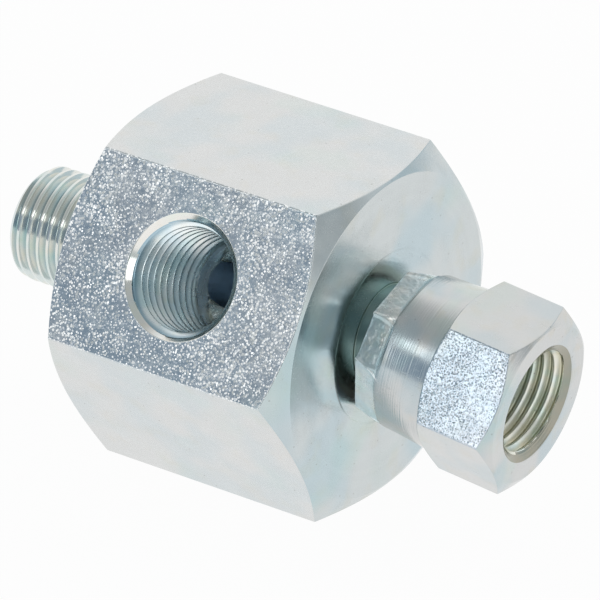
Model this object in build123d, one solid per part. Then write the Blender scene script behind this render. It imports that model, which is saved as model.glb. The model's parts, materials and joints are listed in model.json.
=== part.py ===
from build123d import *
import math
import os

# Test point adapter: a hexagonal hydraulic body with a male stud at one end, a tapped
# test port in one flat, and a swivel nut crimped over a spigot at the other end.
# Frame: origin on the flow axis, in the face of the hexagon that the stud stands on.
# +X runs along the flow to the nut, +Z is up, square to the upper flat. Millimetres.

# How far a cutter runs past the face it opens, and a root runs into what carries it
OVERRUN = 1.0

# Pipe thread, the same on the stud, in the port and in the nut
THREAD_MAJOR_DIAMETER = 13.157
TAP_DIAMETER = 11.8
STUD_TIP_DIAMETER = 11.3
THREAD_MOUTH_DIAMETER = 14.1

# Hexagonal body
HEX_ACROSS_FLATS = 38.0
HEX_LENGTH = 31.8
HEX_FACE_DIAMETER = 37.2
CHAMFER_ANGLE = 30.0
FLOW_BORE_DIAMETER = 6.5

# Male stud
STUD_LENGTH = 15.2
STUD_GROOVE_WIDTH = 2.4
STUD_GROOVE_DIAMETER = 11.1
SEAT_MOUTH_DIAMETER = 10.0
SEAT_HALF_ANGLE = 30.0

# Test port, drilled square to one flat and into the flow bore
PORT_ANGLE = 60.0
PORT_FLOOR_HEIGHT = 2.6
DRILL_POINT_ANGLE = 118.0

# Dished ring that is turned into the nut-side face
DISH_DIAMETER = 20.2
DISH_STEP = 0.12
DISH_DEPTH = 0.4

# Spigot: neck, collar that holds the nut, and coned nose that seals
NECK_DIAMETER = 11.6
COLLAR_DIAMETER = 13.8
COLLAR_WIDTH = 0.85
COLLAR_EDGE = 0.25
NOSE_CLEARANCE = 0.45
NOSE_SHANK_LENGTH = 2.85
NOSE_TIP_WALL = 0.7

# Swivel nut
NUT_ACROSS_FLATS = 19.0
NUT_SKIRT_LENGTH = 9.15
NUT_HEX_LENGTH = 9.5
NUT_FACE_DIAMETER = 18.4
NUT_THREAD_LENGTH = 8.55
NUT_HEX_TURN = 5.4
SKIRT_WALL = 1.35
SKIRT_END_WALL = 1.76
SKIRT_SHORT_OF_FLATS = 0.06

# Crimp: the skirt's back end pressed in behind the collar
CRIMP_WIDTH = 3.2
CRIMP_FLATS = 8
CRIMP_TURN = 37.4
CRIMP_WALL = 0.72
RIB_HEIGHT = 0.5
CRIMP_EDGE = 0.2
LIP_WIDTH = 0.9
LIP_WALL = 1.55

# Play between nut and spigot, which lets the nut hang as it does at rest
LIP_CLEARANCE = 0.62
COLLAR_CLEARANCE = 0.78
AXIAL_CLEARANCE = 0.25
NUT_GAP = 1.18
NUT_DROOP = 6.86
NUT_SWAY = 1.67
NUT_DROP = 0.14
NUT_SIDE_SHIFT = -0.29

# Radii and lengths that follow from the values above
thread_radius = THREAD_MAJOR_DIAMETER / 2
tap_radius = TAP_DIAMETER / 2
mouth_radius = THREAD_MOUTH_DIAMETER / 2
bore_radius = FLOW_BORE_DIAMETER / 2
hex_corner_radius = HEX_ACROSS_FLATS / 2 / math.cos(math.radians(30))
neck_radius = NECK_DIAMETER / 2
collar_radius = COLLAR_DIAMETER / 2
lip_radius = neck_radius + LIP_CLEARANCE
nut_bore_radius = collar_radius + COLLAR_CLEARANCE
lip_swing = lip_radius * math.sin(math.radians(NUT_DROOP))
neck_length = NUT_GAP + LIP_WIDTH + lip_swing + AXIAL_CLEARANCE
nut_corner_radius = NUT_ACROSS_FLATS / 2 / math.cos(math.radians(30))
skirt_end_radius = NUT_ACROSS_FLATS / 2 - SKIRT_SHORT_OF_FLATS
relief_radius = skirt_end_radius - SKIRT_END_WALL
collar_bore_end = CRIMP_WIDTH + COLLAR_WIDTH + lip_swing
nut_length = NUT_SKIRT_LENGTH + NUT_HEX_LENGTH
chamfer_slope = math.tan(math.radians(CHAMFER_ANGLE))


def turned(points):
    """Solid of revolution about the X axis, from a closed outline of (x, radius) points."""
    outline = Polyline(*[(x, 0, radius) for x, radius in points], close=True)
    return revolve(make_face(outline), axis=Axis.X)


def hex_bar(across_flats, start, length, turn=0.0):
    """Hexagonal bar along +X with its upper flat square to +Z, turned about X by an angle."""
    section = RegularPolygon(across_flats / 2, 6, major_radius=False, rotation=turn)
    return extrude(Plane.YZ.offset(start) * section, amount=length)


def chamfered_hex(across_flats, corner_radius, start, length, back_radius, front_radius, turn=0.0):
    """Hexagonal bar with both ends turned back to a round face at the chamfer angle."""
    back_run = (corner_radius - back_radius) * chamfer_slope
    front_run = (corner_radius - front_radius) * chamfer_slope
    end = start + length
    outline = [
        (start, 0),
        (start, back_radius),
        (start + back_run, corner_radius),
        (end - front_run, corner_radius),
        (end, front_radius),
        (end, 0),
    ]
    return hex_bar(across_flats, start, length, turn) & turned(outline)


def male_stud():
    """Stud along -X with a run-out groove at its root and a bevelled tip."""
    tip_radius = STUD_TIP_DIAMETER / 2
    groove_radius = STUD_GROOVE_DIAMETER / 2
    bevel = thread_radius - tip_radius
    groove_slope = thread_radius - groove_radius
    outline = [
        (OVERRUN, 0),
        (OVERRUN, groove_radius),
        (-STUD_GROOVE_WIDTH + groove_slope, groove_radius),
        (-STUD_GROOVE_WIDTH, thread_radius),
        (-STUD_LENGTH + bevel, thread_radius),
        (-STUD_LENGTH, tip_radius),
        (-STUD_LENGTH, 0),
    ]
    return turned(outline)


def spigot_length():
    """Reach of the spigot from the hexagon's face to the tip of its nose."""
    nose_radius = tap_radius - NOSE_CLEARANCE
    tip_radius = bore_radius + NOSE_TIP_WALL
    cone_run = (nose_radius - tip_radius) / math.tan(math.radians(SEAT_HALF_ANGLE))
    behind_collar = neck_length + collar_radius - neck_radius
    return behind_collar + COLLAR_WIDTH + NOSE_SHANK_LENGTH + cone_run


def spigot():
    """Neck, collar with a sloped back, and nose with a sealing cone, along +X from the hexagon."""
    nose_radius = tap_radius - NOSE_CLEARANCE
    tip_radius = bore_radius + NOSE_TIP_WALL
    face = HEX_LENGTH
    collar_back = face + neck_length
    collar_start = collar_back + collar_radius - neck_radius
    collar_end = collar_start + COLLAR_WIDTH
    cone_start = collar_end + NOSE_SHANK_LENGTH
    tip = face + spigot_length()
    outline = [
        (face - DISH_DEPTH - OVERRUN, 0),
        (face - DISH_DEPTH - OVERRUN, neck_radius),
        (collar_back, neck_radius),
        (collar_start, collar_radius),
        (collar_end - COLLAR_EDGE, collar_radius),
        (collar_end, collar_radius - COLLAR_EDGE),
        (collar_end, nose_radius),
        (cone_start, nose_radius),
        (tip, tip_radius),
        (tip, 0),
    ]
    return turned(outline)


def face_dish():
    """Cutter for the shallow dish that is turned into the nut-side face around the neck."""
    face = HEX_LENGTH
    rim = DISH_DIAMETER / 2
    outline = [
        (face + OVERRUN, 0),
        (face + OVERRUN, rim),
        (face - DISH_STEP, rim),
        (face - DISH_DEPTH, neck_radius),
        (face - DISH_DEPTH, 0),
    ]
    return turned(outline)


def flow_passage():
    """Cutter for the bore from end to end, with the stud's coned seat at its mouth."""
    seat_radius = SEAT_MOUTH_DIAMETER / 2
    seat_run = (seat_radius - bore_radius) / math.tan(math.radians(SEAT_HALF_ANGLE))
    back = -STUD_LENGTH
    front = HEX_LENGTH + spigot_length()
    tip_bevel = NOSE_TIP_WALL / 2
    outline = [
        (back - OVERRUN, 0),
        (back - OVERRUN, seat_radius),
        (back, seat_radius),
        (back + seat_run, bore_radius),
        (front - tip_bevel, bore_radius),
        (front, bore_radius + tip_bevel),
        (front + OVERRUN, bore_radius + tip_bevel),
        (front + OVERRUN, 0),
    ]
    return turned(outline)


def test_port():
    """Cutter for the tapped hole in one flat: bevelled mouth, tapped wall and drill point."""
    flat = HEX_ACROSS_FLATS / 2
    point = PORT_FLOOR_HEIGHT - tap_radius / math.tan(math.radians(DRILL_POINT_ANGLE / 2))
    bevel = mouth_radius - tap_radius
    outline = Polyline(
        (0, 0, point),
        (tap_radius, 0, PORT_FLOOR_HEIGHT),
        (tap_radius, 0, flat - bevel),
        (mouth_radius, 0, flat),
        (mouth_radius, 0, flat + OVERRUN),
        (0, 0, flat + OVERRUN),
        close=True,
    )
    upright = revolve(make_face(outline), axis=Axis.Z)
    return Pos(HEX_LENGTH / 2, 0, 0) * Rot(X=PORT_ANGLE) * upright


def adapter_body():
    """Body turned from one hexagonal bar: stud, hexagon, spigot, flow bore and test port."""
    face_radius = HEX_FACE_DIAMETER / 2
    block = chamfered_hex(
        HEX_ACROSS_FLATS, hex_corner_radius, 0, HEX_LENGTH, face_radius, face_radius
    )
    solid = block - face_dish()
    solid = solid + male_stud() + spigot()
    return solid - flow_passage() - test_port()


def crimp_band():
    """Back end of the nut's skirt: a tapered round pressed into flats, with a rib between each pair."""
    flat_back = lip_radius + LIP_WALL
    flat_front = nut_bore_radius + CRIMP_WALL
    round_back = flat_back + RIB_HEIGHT
    round_front = flat_front + RIB_HEIGHT
    taper = (round_front - round_back) / CRIMP_WIDTH
    round_outline = [
        (0, 0),
        (0, round_back - CRIMP_EDGE),
        (CRIMP_EDGE, round_back + taper * CRIMP_EDGE),
        (CRIMP_WIDTH, round_front),
        (CRIMP_WIDTH, 0),
    ]
    back = RegularPolygon(flat_back, CRIMP_FLATS, major_radius=False, rotation=CRIMP_TURN)
    front = RegularPolygon(flat_front, CRIMP_FLATS, major_radius=False, rotation=CRIMP_TURN)
    dies = loft([Plane.YZ * back, Plane.YZ.offset(CRIMP_WIDTH) * front], ruled=True)
    return turned(round_outline) & dies


def skirt():
    """Turned length of the nut between the crimp and the hexagon, flaring towards the hexagon."""
    start_radius = nut_bore_radius + SKIRT_WALL
    outline = [
        (CRIMP_WIDTH, 0),
        (CRIMP_WIDTH, start_radius),
        (NUT_SKIRT_LENGTH, skirt_end_radius),
        (NUT_SKIRT_LENGTH, 0),
    ]
    return turned(outline)


def nut_cavity():
    """Cutter for the nut's inside: lip, sloped seat for the collar, relief bore and tapped hole."""
    seat_run = nut_bore_radius - lip_radius
    mouth_bevel = mouth_radius - tap_radius
    thread_start = nut_length - NUT_THREAD_LENGTH
    relief_run = relief_radius - tap_radius
    outline = [
        (-OVERRUN, 0),
        (-OVERRUN, lip_radius),
        (LIP_WIDTH, lip_radius),
        (LIP_WIDTH + seat_run, nut_bore_radius),
        (collar_bore_end, nut_bore_radius),
        (thread_start - relief_run, relief_radius),
        (thread_start, tap_radius),
        (nut_length - mouth_bevel / 2, tap_radius),
        (nut_length, mouth_radius),
        (nut_length + OVERRUN, mouth_radius),
        (nut_length + OVERRUN, 0),
    ]
    return turned(outline)


def swivel_nut():
    """Nut with its back face at the origin and its thread opening along +X, before it is placed."""
    hexagon = chamfered_hex(
        NUT_ACROSS_FLATS,
        nut_corner_radius,
        NUT_SKIRT_LENGTH,
        NUT_HEX_LENGTH,
        skirt_end_radius,
        NUT_FACE_DIAMETER / 2,
        NUT_HEX_TURN,
    )
    return crimp_band() + skirt() + hexagon - nut_cavity()


def nut_place():
    """Where the nut hangs on the spigot: drooped, swayed and dropped within its play."""
    back_centre = Pos(HEX_LENGTH + NUT_GAP, NUT_SIDE_SHIFT, -NUT_DROP)
    return back_centre * Rot(Z=NUT_SWAY) * Rot(Y=NUT_DROOP)


os.makedirs("parts", exist_ok=True)
export_step(adapter_body(), "parts/adapter_body.step")
export_step(nut_place() * swivel_nut(), "parts/swivel_nut.step")
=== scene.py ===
"""Looks for the test point adapter: a plated steel body and its swivel nut, on a pale studio floor."""

import json
import math
from types import SimpleNamespace

import bpy
import numpy as np
from bpy.props import FloatProperty, FloatVectorProperty, PointerProperty
from mathutils import Matrix, Vector


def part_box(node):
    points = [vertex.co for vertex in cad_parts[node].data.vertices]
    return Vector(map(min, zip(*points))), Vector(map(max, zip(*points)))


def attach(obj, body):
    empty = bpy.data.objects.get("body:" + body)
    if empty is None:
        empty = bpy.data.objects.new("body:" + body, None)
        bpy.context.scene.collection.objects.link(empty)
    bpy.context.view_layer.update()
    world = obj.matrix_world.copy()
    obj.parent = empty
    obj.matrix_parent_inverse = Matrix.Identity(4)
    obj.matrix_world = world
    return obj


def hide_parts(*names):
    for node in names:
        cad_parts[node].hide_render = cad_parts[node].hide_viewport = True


bl_info = {
    "name": "Test point adapter",
    "version": (1, 0, 0),
    "blender": (4, 5, 0),
    "location": "3D View > Sidebar > Adapter",
    "description": "Builds the plated adapter body, its swivel nut and a pale studio",
    "category": "Object",
}

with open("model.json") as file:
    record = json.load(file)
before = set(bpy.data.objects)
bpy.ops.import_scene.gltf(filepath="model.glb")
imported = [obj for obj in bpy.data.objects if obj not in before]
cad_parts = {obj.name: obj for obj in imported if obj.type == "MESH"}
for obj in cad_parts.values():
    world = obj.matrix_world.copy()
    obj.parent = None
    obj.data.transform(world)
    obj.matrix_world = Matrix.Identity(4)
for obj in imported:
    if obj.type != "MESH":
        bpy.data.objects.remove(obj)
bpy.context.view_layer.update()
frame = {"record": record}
TO_MM = 1000.0
SIXTH = math.radians(60)
HALF_SIXTH = math.radians(30)
TAN_30 = math.tan(HALF_SIXTH)

# The port leans by 60 degrees about the flow bore. Its axis crosses the bore at this x, and the
# bore's wall is built anew there, over half a patch to each side.
PORT_TURN = math.radians(60)
PORT_SIN, PORT_COS = math.sin(PORT_TURN), 0.5
PORT_X = 15.9
HALF_PATCH = 6.6

# How far the nut's hexagon is turned about its own axis
NUT_TURN = math.radians(5.4)

# Finish zones: each is one material slot of a piece. The nut has its crimped finish where the
# body has the stud's thread, and no neck.
# The neck's zone takes a dark green-grey colour that is painted shade of the gap under the nut.
FLAT, TURNED, STUD_THREAD, TAPPED, DRILLED, BEVEL, NECK_SHADE = range(7)
CRIMPED = 2

# Nodes along the thread's pitch, as shares of it: crest, flank and root
THREAD_STEPS = np.array([0.0, 0.067, 0.122, 0.25, 0.378, 0.445, 0.5])
THREAD_STEPS = np.concatenate([THREAD_STEPS, 1 - THREAD_STEPS[-2:0:-1]])

# Angles in degrees of the ribs between the crimped flats, at the nut's back and in front
RIBS_BACK = np.array([-5.0, 41.8, 77.6, 125.0, 172.0, 218.0, 261.0, 307.0])
RIBS_FRONT = np.array([-12.0, 41.8, 82.0, 131.0, 174.0, 216.0, 264.0, 309.0])


# Shapes

class Shell:
    """Points and triangles of one closed surface, gathered block by block."""

    def __init__(self):
        self.points = []
        self.triangles = []
        self.zones = []
        self.count = 0

    def add(self, points):
        """Keeps a block of points and gives each point's number, in the block's own layout."""
        block = points.reshape(-1, 3)
        numbers = self.count + np.arange(len(block)).reshape(points.shape[:-1])
        self.points.append(block)
        self.count += len(block)
        return numbers

    def fill(self, corners, zone):
        """Keeps triangles, without those that have shrunk to a line."""
        a, b, c = corners.T
        sound = (a != b) & (b != c) & (a != c)
        self.triangles.append(corners[sound])
        self.zones.append(np.broadcast_to(zone, len(corners))[sound])

    def quads(self, a, b, c, d, zone):
        """Splits a grid of four-cornered cells into triangles, all wound the same way."""
        zone = np.broadcast_to(zone, a.shape).ravel()
        first = np.stack([a, b, c], axis=-1).reshape(-1, 3)
        second = np.stack([a, c, d], axis=-1).reshape(-1, 3)
        self.fill(first, zone)
        self.fill(second, zone)

    def band(self, rows, zone, columns=slice(None)):
        """Joins each row of points to the next. The rows close on themselves."""
        beside = np.roll(rows, -1, axis=1)
        if np.ndim(zone):
            zone = np.asarray(zone)[:, None]
        here, there = rows[:, columns], beside[:, columns]
        self.quads(here[:-1], there[:-1], there[1:], here[1:], zone)

    def zip(self, outer, outer_turn, inner, inner_turn, zone):
        """Joins two closed loops of different counts. Each edge meets the other loop's nearest
        point so far, in the order in which both turn from zero to a full turn."""
        outer_next, inner_next = np.roll(outer, -1), np.roll(inner, -1)
        outer_half = outer_turn + np.diff(outer_turn, append=outer_turn[0] + 2 * math.pi) / 2
        inner_half = inner_turn + np.diff(inner_turn, append=inner_turn[0] + 2 * math.pi) / 2
        met_inner = np.searchsorted(inner_half, outer_half, side="right") % len(inner)
        met_outer = np.searchsorted(outer_half, inner_half, side="left") % len(outer)
        self.fill(np.stack([outer, outer_next, inner[met_inner]], axis=-1), zone)
        self.fill(np.stack([outer[met_outer], inner_next, inner], axis=-1), zone)


def ring(axial, radius, angle):
    """Points around the x axis: (x, -r sin a, r cos a), with the angle from +Z towards -Y."""
    parts = np.broadcast_arrays(axial, -radius * np.sin(angle), radius * np.cos(angle))
    return np.stack(parts, axis=-1)


def even(count):
    """Angles of a full turn in equal steps."""
    return np.arange(count) * 2 * math.pi / count


def mix(a, b, share):
    """Straight blend: a at share 0 and b at share 1."""
    return a + (b - a) * share


def ease(low, high, value):
    """Smooth step from 0 at low to 1 at high: 3t^2 - 2t^3."""
    t = np.clip((value - low) / (high - low), 0, 1)
    return t * t * (3 - 2 * t)


def soft_min(a, b, width):
    """The smaller of two values, rounded where they cross over the given width."""
    share = np.clip(0.5 + 0.5 * (b - a) / width, 0, 1)
    return mix(b, a, share) - width * share * (1 - share)


def softened(corners, reach, support=0.12, steps=5):
    """Rounds the inner corners of a path of (x, r) corners, one path for each column if there
    are columns. A corner P gives way to (1-t)^2 A + 2t(1-t) P + t^2 B, where A and B lie on its
    two sides at the reach. A further point beyond each keeps the sides' shading flat."""
    corners = np.asarray(corners, dtype=float)
    middle = corners[1:-1]
    before, after = corners[:-2] - middle, corners[2:] - middle
    long_before = np.linalg.norm(before, axis=-1, keepdims=True)
    long_after = np.linalg.norm(after, axis=-1, keepdims=True)
    room = 0.3 * np.minimum(long_before, long_after)
    reach = np.asarray(reach, dtype=float).reshape((-1,) + (1,) * (corners.ndim - 1))
    reach = np.minimum(reach, room)
    spare = np.minimum(support, room / 2)
    before, after = before / long_before, after / long_after
    a, b = middle + before * reach, middle + after * reach
    t = np.linspace(0, 1, steps).reshape((-1,) + (1,) * corners.ndim)
    curve = (1 - t) ** 2 * a + 2 * t * (1 - t) * middle + t ** 2 * b
    rows = np.concatenate([(a + before * spare)[None], curve, (b + after * spare)[None]])
    rows = np.swapaxes(rows, 0, 1).reshape((-1,) + corners.shape[1:])
    return np.concatenate([corners[:1], rows, corners[-1:]])


def column_paths(stations):
    """One path for each column, through stations (x, r). Either value may differ by column."""
    count = max(np.size(value) for station in stations for value in station)
    spread = [[np.broadcast_to(value, count) for value in station] for station in stations]
    return np.moveaxis(np.array(spread, dtype=float), 1, -1)


def revolve(shell, path, angle, zone, first=None):
    """Turns a path of (x, r) points, or one path for each column, about the x axis. The first
    row may be a ring that is there already. Gives the rows of point numbers."""
    if path.ndim == 2:
        path = path[:, None, :]
    rows = shell.add(ring(path[..., 0], path[..., 1], angle))
    if first is not None:
        rows = np.concatenate([first[None], rows])
    shell.band(rows, zone)
    return rows


def sector_angles(count, corner_share, offsets):
    """Angles around a hexagon with the columns crowded at its corners. The offsets run from a
    corner to the middle of a flat; each flat is a mirror of itself, six times round."""
    half = np.concatenate([-offsets[::-1], offsets[1:]])
    around = half[:-1] + SIXTH * np.arange(count)[:, None]
    return around.ravel() + corner_share


def hexagon_radius(angle, apothem, rounding, turn=0.0):
    """Distance from the axis to a hexagon's side: apothem / cos of the angle off the flat, and
    near a corner the far side of a circle of the rounding's radius that touches both flats."""
    off = (angle - turn + HALF_SIXTH) % SIXTH - HALF_SIXTH
    off_corner = HALF_SIXTH - np.abs(off)
    centre = (apothem - rounding) / math.cos(HALF_SIXTH)
    inside = np.maximum(rounding ** 2 - (centre * np.sin(off_corner)) ** 2, 0)
    rounded = centre * np.cos(off_corner) + np.sqrt(inside)
    touch = HALF_SIXTH - math.atan((apothem - rounding) * math.tan(HALF_SIXTH) / apothem)
    return np.where(off_corner < touch, rounded, apothem / np.cos(off))


def crowded(apothem, rounding, steps):
    """Offsets from a hexagon's corner to the middle of a flat, close together in the rounding."""
    touch = HALF_SIXTH - math.atan((apothem - rounding) * math.tan(HALF_SIXTH) / apothem)
    near = touch * np.array([0, 1 / 3, 2 / 3, 1, 1.7])
    wide = np.radians([1.8, 3.0])
    return np.concatenate([near, wide, np.linspace(math.radians(5), HALF_SIXTH, steps)])


def thread_radius(share, crest, root, roundness=0.75, crest_share=0.0):
    """Radius across one pitch of a rounded thread, from crest at 0 to root at one half and back:
    a cosine, sharpened so that crest and root are rounded and the flanks are straight. The crest
    may be level over a share of the pitch, which narrows the valleys."""
    off = np.abs((share + 0.5) % 1 - 0.5)
    valley = np.clip(off - crest_share / 2, 0, 1) / (0.5 - crest_share / 2) / 2
    wave = np.cos(2 * math.pi * valley)
    straight = np.clip(1.35 * np.arcsin(wave) / (math.pi / 2), -1, 1)
    return mix(root, crest, 0.5 + 0.5 * mix(straight, wave, roundness))


def sleeve(shell, place, angle, span, hand, pitch, radius, ring_before, zone, phase=0.0, bevel=0.0):
    """A threaded surface on a slanted grid whose rows climb by one pitch in a turn, so that each
    row stays on one line of the thread: z = start + pitch (step + hand a / 2 pi). The phase shifts
    the crests by a share of the pitch. Rows beyond the two ends are drawn in to the end rings.
    The first stretch may have the bevel's finish. Gives the point numbers of the last ring."""
    start, end = span
    per_turn = len(THREAD_STEPS)
    turns = int((end - start) / pitch) + 4
    row = np.arange(-per_turn * 2, per_turn * turns)
    share = THREAD_STEPS[row % per_turn]
    step = (row // per_turn + share + phase)[:, None]
    z = start + pitch * (step + hand * angle / (2 * math.pi))
    early, late = z <= start + 1e-4, z >= end - 1e-4
    z = np.clip(z, start, end)
    points = place(z, radius(share[:, None], z), angle)
    ring_after = shell.add(place(np.full_like(angle, end), radius(0.5, end) + 0 * angle, angle))
    inside = ~(early | late)
    numbers = np.zeros(z.shape, dtype=int)
    numbers[inside] = shell.add(points[inside])
    numbers = np.where(early, ring_before, numbers)
    numbers = np.where(late, ring_after, numbers)
    beside = np.roll(numbers, -1, axis=1)
    seam = np.roll(numbers[:, 0], -hand * per_turn)
    if hand > 0:
        seam[-per_turn:] = ring_after[0]
    else:
        seam[:per_turn] = ring_before[0]
    beside[:, -1] = seam
    zone = np.where(z[1:] < start + bevel, BEVEL, zone)
    shell.quads(numbers[:-1], beside[:-1], beside[1:], numbers[1:], zone)
    return ring_after


def make_piece(name, shell, body, node, materials, place=None):
    """Turns a shell into an object in metres, with smooth shading and crisp creases."""
    points = np.concatenate(shell.points)
    if place is not None:
        points = points @ np.array(place.to_3x3()).T + np.array(place.translation)
    triangles = np.concatenate(shell.triangles)
    mesh = bpy.data.meshes.new(name)
    mesh.vertices.add(len(points))
    mesh.vertices.foreach_set("co", (points / TO_MM).astype(np.float32).ravel())
    mesh.loops.add(triangles.size)
    mesh.loops.foreach_set("vertex_index", triangles.astype(np.int32).ravel())
    mesh.polygons.add(len(triangles))
    mesh.polygons.foreach_set("loop_start", np.arange(0, triangles.size, 3, dtype=np.int32))
    mesh.polygons.foreach_set("material_index", np.concatenate(shell.zones).astype(np.int32))
    mesh.update(calc_edges=True)
    if mesh.validate():
        raise RuntimeError(f"{name}: the mesh had faults")
    for material in materials:
        mesh.materials.append(material)
    mesh.shade_smooth()
    mesh.set_sharp_from_angle(angle=math.radians(38))
    piece = bpy.data.objects.new(name, mesh)
    bpy.context.scene.collection.objects.link(piece)
    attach(piece, body)
    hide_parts(node)
    return piece


# Adapter body

# Radius at which both end faces pass from even columns to the hexagon's
INNER_FACE = 12


def port_place(z, radius, angle):
    """Points around the port's axis. z runs down into the hole, from minus the flat's height."""
    across = radius * np.sin(angle)
    height = -z
    x = PORT_X + radius * np.cos(angle)
    y = PORT_COS * across - PORT_SIN * height
    up = PORT_SIN * across + PORT_COS * height
    return np.stack(np.broadcast_arrays(x, y, up), axis=-1)


def turn_about_port(points):
    """Angle of each point about the port's axis, from 0 up to a full turn."""
    x, y, z = points[..., 0] - PORT_X, points[..., 1], points[..., 2]
    across = PORT_COS * y + PORT_SIN * z
    return np.arctan2(across, x) % (2 * math.pi)


def port_foot(angle, wall, floor, bore):
    """Where the port breaks into the flow bore, as (r, h) around the port. Under the wall the
    bore's height is sqrt(R^2 - (r sin a)^2); on the drill point r sin a and h = k r - p meet the
    circle R, which is a quadratic in r."""
    slope = 1 / math.tan(math.radians(59))
    point = floor - wall * slope
    s = np.sin(angle)
    a, b, c = s ** 2 + slope ** 2, 2 * slope * point, point ** 2 - bore ** 2
    on_cone = (-b + np.sqrt(b * b - 4 * a * c)) / (2 * a)
    under_wall = np.sqrt(np.maximum(bore ** 2 - (wall * s) ** 2, 0))
    walled = under_wall >= floor
    radius = np.where(walled, wall, np.minimum(on_cone, wall))
    return radius, np.where(walled, under_wall, point + slope * radius)


def cut_port(shell, size, rim, rim_turn, bore_ends):
    """The tapped port: bevelled mouth, thread, plain wall, drill point and its opening into the
    flow bore. It starts at the rim left in the flat and closes the gap left in the bore."""
    angle = even(176)
    flat, mouth, wall = size.hex_flats / 2, size.port_mouth / 2, size.tap / 2
    crest, root = wall - 0.15, size.thread / 2 + 0.04
    thread_end, drop = 4.9, 0.35
    lip = -flat + drop

    collar = softened([(-flat, mouth + 0.5), (-flat, mouth), (lip, mouth - drop)], [0.06])
    rows = shell.add(port_place(collar[:, :1], collar[:, 1:], angle))
    shell.zip(rim, rim_turn, rows[0], angle, FLAT)
    zones = np.full(len(collar) - 1, BEVEL)
    zones[:3] = FLAT
    shell.band(rows, zones)

    def cut(share, z):
        turned = thread_radius(share, crest, root)
        faded = mix(wall, turned, ease(thread_end, thread_end + 1.6, -z))
        bevel = mouth - (flat + z)
        return -soft_min(-faded, -bevel, 0.05)

    foot = sleeve(shell, port_place, angle, (lip, -thread_end), -1, size.pitch, cut, rows[-1], TAPPED,
                  phase=0.45, bevel=0.3)

    wall_foot, top = 2.6, 3.6
    low_radius, low_height = port_foot(angle, wall, wall_foot, size.bore / 2)
    knee = np.maximum(wall_foot, (top + low_height) / 2)
    share = np.array([0.33, 0.66, 1.0])[:, None]
    heights = np.concatenate([[top + 0 * angle], mix(top, knee, share), mix(knee, low_height, share)])
    radii = np.concatenate([[wall + 0 * angle] * 4, mix(wall, low_radius, share)])
    rows = shell.add(port_place(-heights, radii, angle))
    shell.band(np.concatenate([foot[None], rows]), np.repeat([TAPPED, BEVEL], [4, 3]))
    open_into_bore(shell, size.bore / 2, (rows[-1], angle, low_radius, low_height), bore_ends)


def open_into_bore(shell, radius, foot, bore_ends):
    """Rebuilds the flow bore's wall around the port. A patch widens from the port's foot to a
    square, which is joined to the bore's two ends, and one band closes the rest. The foot is a
    ring of points with their angle, radius and height around the port."""
    last, angle, low_radius, low_height = foot
    high_end, low_end = bore_ends
    inset = 0.97
    around = -np.arctan2(low_radius * np.sin(angle), low_height)
    along = low_radius * np.cos(angle)
    square = np.maximum(np.abs(np.cos(angle)), np.abs(np.sin(angle)))
    share = np.linspace(0, 1, 7)[1:, None]
    x = mix(along, inset * HALF_PATCH * np.cos(angle) / square, share)
    turn = mix(around, -inset * math.radians(90) * np.sin(angle) / square, share)
    patch = shell.add(ring(PORT_X + x, radius, turn + PORT_TURN))
    shell.band(np.concatenate([last[None], patch]), DRILLED)

    count = len(high_end)
    middle, quarter = count // 6, count // 4
    down = np.arange(middle, middle - quarter - 1, -1)
    up = np.arange(middle - quarter, middle + quarter + 1)
    back = np.arange(middle + quarter, middle, -1)
    columns = np.concatenate([down, up, back])
    at_high = np.repeat([True, False, True], [len(down), len(up), len(back)])
    loop = np.where(at_high, high_end[columns % count], low_end[columns % count])
    psi = (columns - middle) / quarter
    turn = np.arctan2(-psi, np.where(at_high, 1.0, -1.0)) % (2 * math.pi)
    square_turn = np.arctan2(np.sin(angle), np.cos(angle)) % (2 * math.pi)
    shell.zip(patch[-1], square_turn, loop, turn, DRILLED)
    shut = (np.arange(count) + count - (middle + quarter)) % count < count - 2 * quarter
    shell.band(np.stack([high_end, low_end]), DRILLED, shut)


def add_stud(shell, size, angle):
    """The stud, from the flow bore over its coned seat and its thread to the face around its
    root. Gives the first ring and the last."""
    bore, stud = size.bore / 2, size.stud_length
    crest, root = size.thread / 2, size.thread / 2 - 0.856

    # Seat and tip of the stud
    seat, tip = 5.0, crest - 0.93
    seat_run = (seat - bore) / TAN_30
    path = softened(
        [(PORT_X - HALF_PATCH, bore), (-stud + seat_run, bore), (-stud, seat), (-stud, tip),
         (-stud + 0.05, tip + 0.05)],
        [0.1, 0.08, 0.03])
    zones = np.full(len(path) - 1, TURNED)
    zones[:3] = DRILLED
    first = revolve(shell, path, angle, zones)

    # Threaded stud
    groove = 5.55
    slope_end = -2.4 + crest - groove

    def cut(share, z):
        turned = thread_radius(share, crest, root, crest_share=0.2)
        turned = soft_min(turned, tip + z + stud, 0.05)
        return soft_min(turned, groove + slope_end - z, 0.05)

    last = sleeve(shell, ring, angle, (-stud + 0.05, slope_end - 0.05), 1, size.pitch, cut,
                  first[-1], STUD_THREAD)

    # Groove at the stud's root and the face around it
    path = softened(
        [(slope_end - 0.05, groove + 0.05), (slope_end, groove), (0, groove), (0, INNER_FACE)],
        [0.04, 0.15])[1:]
    return first[0], revolve(shell, path, angle, TURNED, last)[-1]


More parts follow.
